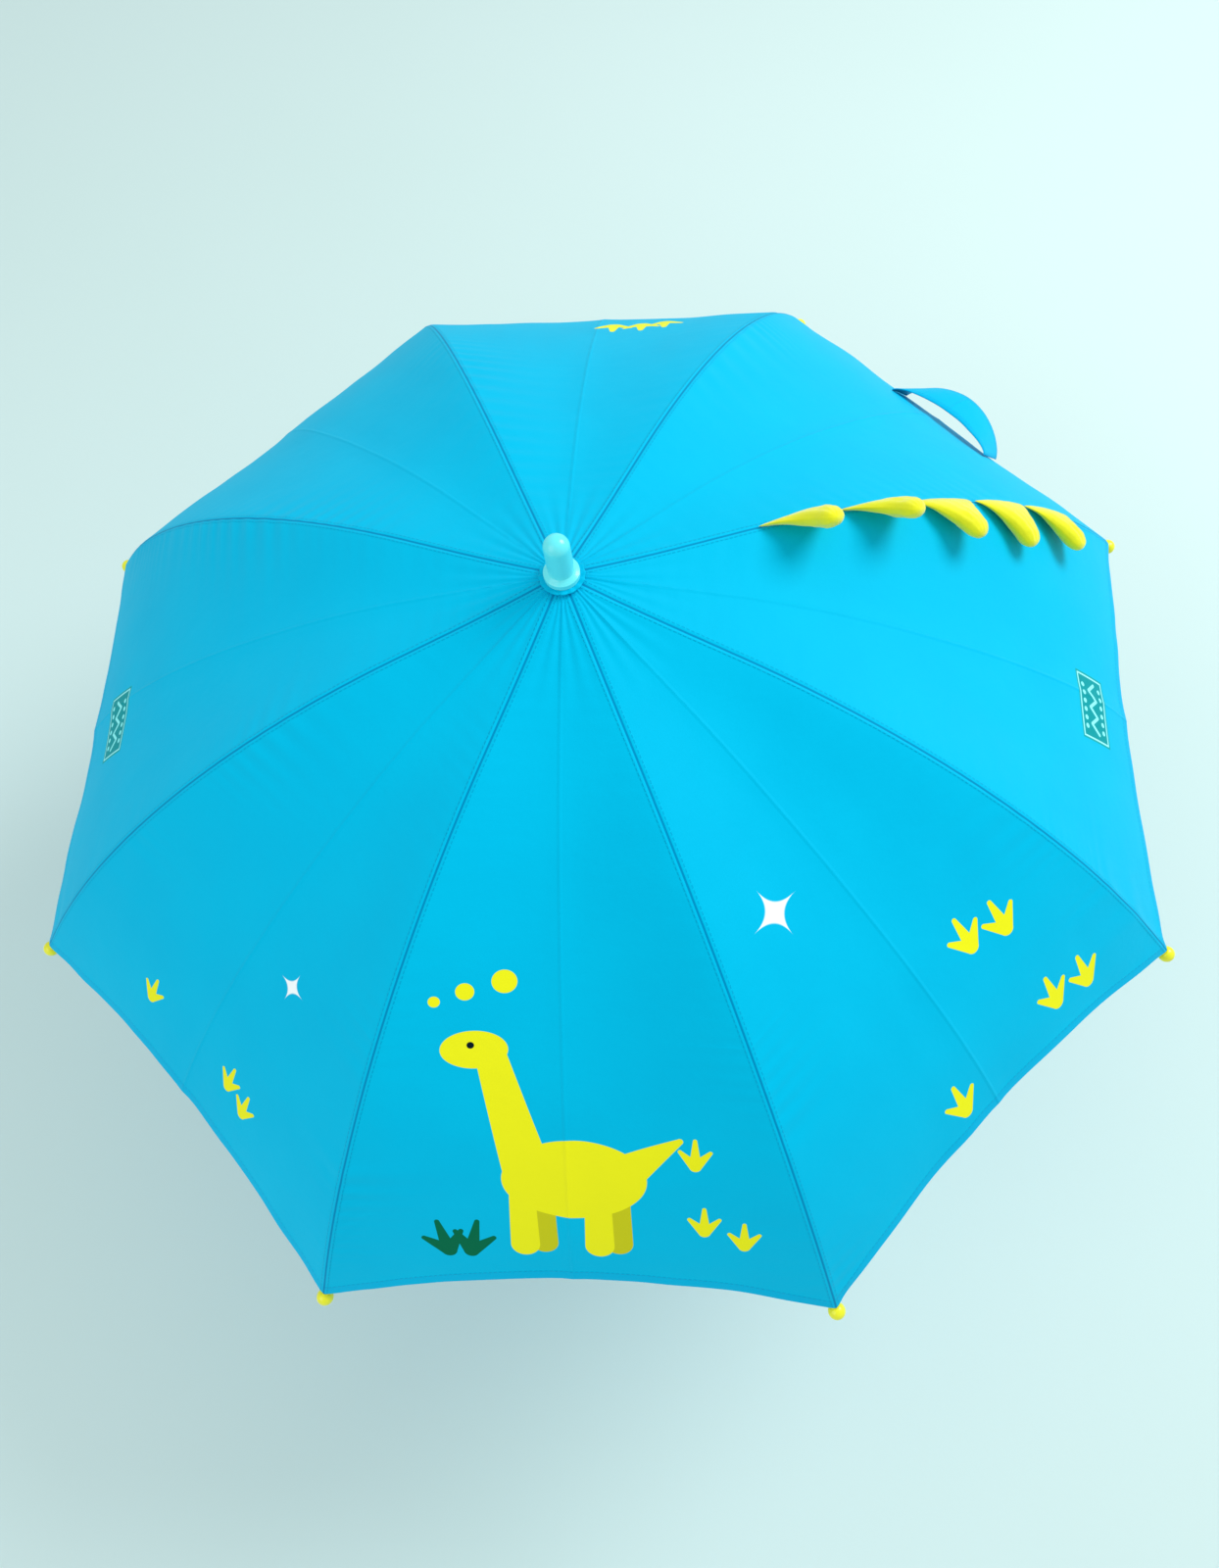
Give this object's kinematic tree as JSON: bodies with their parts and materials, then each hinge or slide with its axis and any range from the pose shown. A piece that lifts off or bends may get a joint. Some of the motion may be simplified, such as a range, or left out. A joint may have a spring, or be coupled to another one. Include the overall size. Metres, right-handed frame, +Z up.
{
  "type": "children's umbrella",
  "caption": "Child's open umbrella with a sprung-catch runner that folds its ribs, a fabric canopy with stuffed fins along one seam, and a crook handle.",
  "frame": {"origin": "centre of the straight grip of the handle, on the shaft's axis", "axes": "+Z up the shaft towards the ferrule; -Y towards the front panel; the handle's crook opens towards +X"},
  "size_m": [0.8032, 0.8032, 0.6476],
  "materials": {
    "canopy_fabric": "plain-woven polyester, satin",
    "spike_fabric": "knitted plush, matt",
    "tip_plastic": "moulded, glossy",
    "aqua_plastic": "moulded, glossy",
    "mechanism_plastic": "moulded, satin",
    "plated_steel": "zinc plated",
    "shaft_steel": "plated tube, polished"
  },
  "bodies": {
    "shaft": {"shaft": "shaft_steel", "top_notch": "mechanism_plastic", "notch_wire": "plated_steel", "ferrule": "aqua_plastic", "rosette": "canopy_fabric", "handle": "aqua_plastic", "handle_collar": "aqua_plastic"},
    "runner": {"runner": "mechanism_plastic", "runner_wire": "plated_steel"},
    "top_catch": {"top_catch": "plated_steel"},
    "bottom_catch": {"bottom_catch": "plated_steel"},
    "rib_1": {"rib_1": "plated_steel", "canopy_1": "canopy_fabric"},
    "rib_end_1": {"rib_end_1": "plated_steel", "tip_1": "tip_plastic"},
    "stretcher_1": {"stretcher_1": "plated_steel"},
    "rib_2": {"rib_2": "plated_steel", "canopy_2": "canopy_fabric"},
    "rib_end_2": {"rib_end_2": "plated_steel", "tip_2": "tip_plastic"},
    "stretcher_2": {"stretcher_2": "plated_steel"},
    "rib_3": {"rib_3": "plated_steel", "canopy_3": "canopy_fabric"},
    "rib_end_3": {"rib_end_3": "plated_steel", "tip_3": "tip_plastic"},
    "stretcher_3": {"stretcher_3": "plated_steel"},
    "rib_4": {"rib_4": "plated_steel", "canopy_4": "canopy_fabric", "spikes_inner": "spike_fabric"},
    "rib_end_4": {"rib_end_4": "plated_steel", "tip_4": "tip_plastic", "spikes_outer": "spike_fabric", "tie_strap": "canopy_fabric"},
    "stretcher_4": {"stretcher_4": "plated_steel"},
    "rib_5": {"rib_5": "plated_steel", "canopy_5": "canopy_fabric"},
    "rib_end_5": {"rib_end_5": "plated_steel", "tip_5": "tip_plastic"},
    "stretcher_5": {"stretcher_5": "plated_steel"},
    "rib_6": {"rib_6": "plated_steel", "canopy_6": "canopy_fabric"},
    "rib_end_6": {"rib_end_6": "plated_steel", "tip_6": "tip_plastic"},
    "stretcher_6": {"stretcher_6": "plated_steel"},
    "rib_7": {"rib_7": "plated_steel", "canopy_7": "canopy_fabric"},
    "rib_end_7": {"rib_end_7": "plated_steel", "tip_7": "tip_plastic"},
    "stretcher_7": {"stretcher_7": "plated_steel"},
    "rib_8": {"rib_8": "plated_steel", "canopy_8": "canopy_fabric"},
    "rib_end_8": {"rib_end_8": "plated_steel", "tip_8": "tip_plastic"},
    "stretcher_8": {"stretcher_8": "plated_steel"}
  },
  "joints": [
    {"name": "canopy_fold", "type": "hinge", "parent": "shaft", "child": "rib_1", "pos_m": [-0.00325, -0.00785, 0.53], "axis": [0.9239, -0.3827, 0], "range_deg": [0, 69.05], "deforming": ["canopy_1", "canopy_2", "canopy_3", "canopy_4", "canopy_5", "canopy_6", "canopy_7", "canopy_8", "top_catch", "bottom_catch"]},
    {"name": "stretcher_1_fold", "type": "hinge", "parent": "rib_1", "child": "stretcher_1", "pos_m": [-0.07225, -0.17443, 0.49018], "axis": [0.9239, -0.3827, 0], "range_deg": [-138.09, 0]},
    {"name": "rib_1_flex", "type": "hinge", "parent": "rib_1", "child": "rib_end_1", "pos_m": [-0.10806, -0.26089, 0.44497], "axis": [0.9239, -0.3827, 0], "range_deg": [-26.3, 0]},
    {"name": "rib_2_fold", "type": "hinge", "parent": "shaft", "child": "rib_2", "pos_m": [0.00325, -0.00785, 0.53], "axis": [0.9239, 0.3827, 0], "range_deg": [0, 69.05]},
    {"name": "stretcher_2_fold", "type": "hinge", "parent": "rib_2", "child": "stretcher_2", "pos_m": [0.07225, -0.17443, 0.49018], "axis": [0.9239, 0.3827, 0], "range_deg": [-138.09, 0]},
    {"name": "rib_2_flex", "type": "hinge", "parent": "rib_2", "child": "rib_end_2", "pos_m": [0.10806, -0.26089, 0.44497], "axis": [0.9239, 0.3827, 0], "range_deg": [-26.3, 0]},
    {"name": "rib_3_fold", "type": "hinge", "parent": "shaft", "child": "rib_3", "pos_m": [0.00785, -0.00325, 0.53], "axis": [0.3827, 0.9239, 0], "range_deg": [0, 69.05]},
    {"name": "stretcher_3_fold", "type": "hinge", "parent": "rib_3", "child": "stretcher_3", "pos_m": [0.17443, -0.07225, 0.49018], "axis": [0.3827, 0.9239, 0], "range_deg": [-138.09, 0]},
    {"name": "rib_3_flex", "type": "hinge", "parent": "rib_3", "child": "rib_end_3", "pos_m": [0.26089, -0.10806, 0.44497], "axis": [0.3827, 0.9239, 0], "range_deg": [-26.3, 0]},
    {"name": "rib_4_fold", "type": "hinge", "parent": "shaft", "child": "rib_4", "pos_m": [0.00785, 0.00325, 0.53], "axis": [-0.3827, 0.9239, 0], "range_deg": [0, 69.05]},
    {"name": "stretcher_4_fold", "type": "hinge", "parent": "rib_4", "child": "stretcher_4", "pos_m": [0.17443, 0.07225, 0.49018], "axis": [-0.3827, 0.9239, 0], "range_deg": [-138.09, 0]},
    {"name": "rib_4_flex", "type": "hinge", "parent": "rib_4", "child": "rib_end_4", "pos_m": [0.26089, 0.10806, 0.44497], "axis": [-0.3827, 0.9239, 0], "range_deg": [-26.3, 0]},
    {"name": "rib_5_fold", "type": "hinge", "parent": "shaft", "child": "rib_5", "pos_m": [0.00325, 0.00785, 0.53], "axis": [-0.9239, 0.3827, 0], "range_deg": [0, 69.05]},
    {"name": "stretcher_5_fold", "type": "hinge", "parent": "rib_5", "child": "stretcher_5", "pos_m": [0.07225, 0.17443, 0.49018], "axis": [-0.9239, 0.3827, 0], "range_deg": [-138.09, 0]},
    {"name": "rib_5_flex", "type": "hinge", "parent": "rib_5", "child": "rib_end_5", "pos_m": [0.10806, 0.26089, 0.44497], "axis": [-0.9239, 0.3827, 0], "range_deg": [-26.3, 0]},
    {"name": "rib_6_fold", "type": "hinge", "parent": "shaft", "child": "rib_6", "pos_m": [-0.00325, 0.00785, 0.53], "axis": [-0.9239, -0.3827, 0], "range_deg": [0, 69.05]},
    {"name": "stretcher_6_fold", "type": "hinge", "parent": "rib_6", "child": "stretcher_6", "pos_m": [-0.07225, 0.17443, 0.49018], "axis": [-0.9239, -0.3827, 0], "range_deg": [-138.09, 0]},
    {"name": "rib_6_flex", "type": "hinge", "parent": "rib_6", "child": "rib_end_6", "pos_m": [-0.10806, 0.26089, 0.44497], "axis": [-0.9239, -0.3827, 0], "range_deg": [-26.3, 0]},
    {"name": "rib_7_fold", "type": "hinge", "parent": "shaft", "child": "rib_7", "pos_m": [-0.00785, 0.00325, 0.53], "axis": [-0.3827, -0.9239, 0], "range_deg": [0, 69.05]},
    {"name": "stretcher_7_fold", "type": "hinge", "parent": "rib_7", "child": "stretcher_7", "pos_m": [-0.17443, 0.07225, 0.49018], "axis": [-0.3827, -0.9239, 0], "range_deg": [-138.09, 0]},
    {"name": "rib_7_flex", "type": "hinge", "parent": "rib_7", "child": "rib_end_7", "pos_m": [-0.26089, 0.10806, 0.44497], "axis": [-0.3827, -0.9239, 0], "range_deg": [-26.3, 0]},
    {"name": "rib_8_fold", "type": "hinge", "parent": "shaft", "child": "rib_8", "pos_m": [-0.00785, -0.00325, 0.53], "axis": [0.3827, -0.9239, 0], "range_deg": [0, 69.05]},
    {"name": "stretcher_8_fold", "type": "hinge", "parent": "rib_8", "child": "stretcher_8", "pos_m": [-0.17443, -0.07225, 0.49018], "axis": [0.3827, -0.9239, 0], "range_deg": [-138.09, 0]},
    {"name": "rib_8_flex", "type": "hinge", "parent": "rib_8", "child": "rib_end_8", "pos_m": [-0.26089, -0.10806, 0.44497], "axis": [0.3827, -0.9239, 0], "range_deg": [-26.3, 0]},
    {"name": "runner_slide", "type": "hinge", "parent": "stretcher_1", "child": "runner", "pos_m": [-0.00325, -0.00785, 0.45036], "axis": [0.9239, -0.3827, 0], "range_deg": [0, 69.05]},
    {"name": "top_catch_press", "type": "slide", "parent": "shaft", "child": "top_catch", "axis": [0, 1, 0], "range_m": [0, 0.0022], "stiffness_N_per_m": 400},
    {"name": "bottom_catch_press", "type": "slide", "parent": "shaft", "child": "bottom_catch", "axis": [0, 1, 0], "range_m": [0, 0.0022], "stiffness_N_per_m": 400}
  ],
  "couplings": [
    {"joint": "stretcher_1_fold", "follows": "canopy_fold", "ratio": -2},
    {"joint": "rib_1_flex", "follows": "canopy_fold", "ratio": -0.37946},
    {"joint": "rib_2_fold", "follows": "canopy_fold", "ratio": 1},
    {"joint": "stretcher_2_fold", "follows": "canopy_fold", "ratio": -2},
    {"joint": "rib_2_flex", "follows": "canopy_fold", "ratio": -0.37946},
    {"joint": "rib_3_fold", "follows": "canopy_fold", "ratio": 1},
    {"joint": "stretcher_3_fold", "follows": "canopy_fold", "ratio": -2},
    {"joint": "rib_3_flex", "follows": "canopy_fold", "ratio": -0.37946},
    {"joint": "rib_4_fold", "follows": "canopy_fold", "ratio": 1},
    {"joint": "stretcher_4_fold", "follows": "canopy_fold", "ratio": -2},
    {"joint": "rib_4_flex", "follows": "canopy_fold", "ratio": -0.37946},
    {"joint": "rib_5_fold", "follows": "canopy_fold", "ratio": 1},
    {"joint": "stretcher_5_fold", "follows": "canopy_fold", "ratio": -2},
    {"joint": "rib_5_flex", "follows": "canopy_fold", "ratio": -0.37946},
    {"joint": "rib_6_fold", "follows": "canopy_fold", "ratio": 1},
    {"joint": "stretcher_6_fold", "follows": "canopy_fold", "ratio": -2},
    {"joint": "rib_6_flex", "follows": "canopy_fold", "ratio": -0.37946},
    {"joint": "rib_7_fold", "follows": "canopy_fold", "ratio": 1},
    {"joint": "stretcher_7_fold", "follows": "canopy_fold", "ratio": -2},
    {"joint": "rib_7_flex", "follows": "canopy_fold", "ratio": -0.37946},
    {"joint": "rib_8_fold", "follows": "canopy_fold", "ratio": 1},
    {"joint": "stretcher_8_fold", "follows": "canopy_fold", "ratio": -2},
    {"joint": "rib_8_flex", "follows": "canopy_fold", "ratio": -0.37946},
    {"joint": "runner_slide", "follows": "canopy_fold", "ratio": 1}
  ]
}
